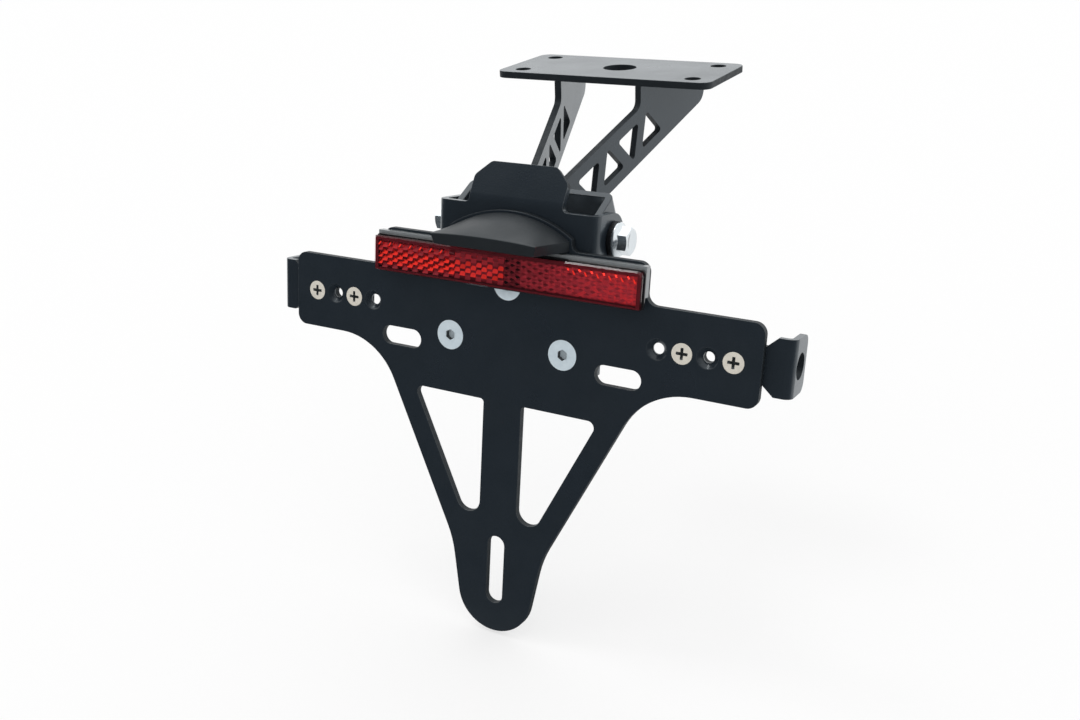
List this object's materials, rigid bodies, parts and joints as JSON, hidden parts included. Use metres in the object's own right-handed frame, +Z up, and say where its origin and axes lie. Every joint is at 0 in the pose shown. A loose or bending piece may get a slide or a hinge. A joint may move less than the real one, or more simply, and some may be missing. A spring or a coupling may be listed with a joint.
{
  "type": "motorbike number-plate holder",
  "caption": "Black sheet-metal number-plate holder for a motorbike tail, with truss arms, a tilting hinge, plate light, red reflector and indicator brackets.",
  "frame": {"origin": "middle of the top plate's upper face, at the centre of its bolt pattern", "axes": "+Z up and out of the top plate, +Y to the front of the motorbike, +X to its right"},
  "size_m": [0.2338, 0.1612, 0.2172],
  "materials": {
    "black_coat": "satin powder coat",
    "zinc": "bright zinc plate",
    "nickel": "satin nickel plate",
    "black_zinc": "black zinc plate",
    "housing_plastic": "fine grain",
    "clear_lens": "clear",
    "board": "white solder mask",
    "lamp": "phosphor",
    "foam_pad": "closed-cell foam tape",
    "base_plastic": "moulded",
    "red_lens": "clear red with prisms"
  },
  "bodies": {
    "carrier": {"top_plate": "black_coat", "arm_left": "black_coat", "arm_right": "black_coat", "hinge_fork": "black_coat", "pivot_bolt_left": "zinc", "pivot_bolt_right": "zinc", "pivot_outer_washer_left": "black_zinc", "pivot_outer_washer_right": "black_zinc", "pivot_washer_left": "zinc", "pivot_washer_right": "zinc", "pivot_nut_left": "zinc", "pivot_nut_right": "zinc"},
    "tilting_half": {"hinge_bracket": "black_coat", "plate_panel": "black_coat", "panel_screws": "zinc", "panel_nuts": "zinc", "indicator_bracket_left": "black_coat", "indicator_bracket_right": "black_coat", "indicator_screws_left": "nickel", "indicator_screws_right": "nickel", "indicator_nuts_left": "zinc", "indicator_nuts_right": "zinc", "light_housing": "housing_plastic", "light_lens": "clear_lens", "light_board": "board", "light_leds": "lamp", "light_screws": "zinc", "reflector_pad": "foam_pad", "reflector_base": "base_plastic", "reflector_lens": "red_lens"}
  },
  "joints": [
    {"name": "plate_tilt", "type": "hinge", "parent": "carrier", "child": "tilting_half", "pos_m": [0, -0.087, -0.05], "axis": [1, 0, 0], "range_deg": [-30, 45]}
  ]
}
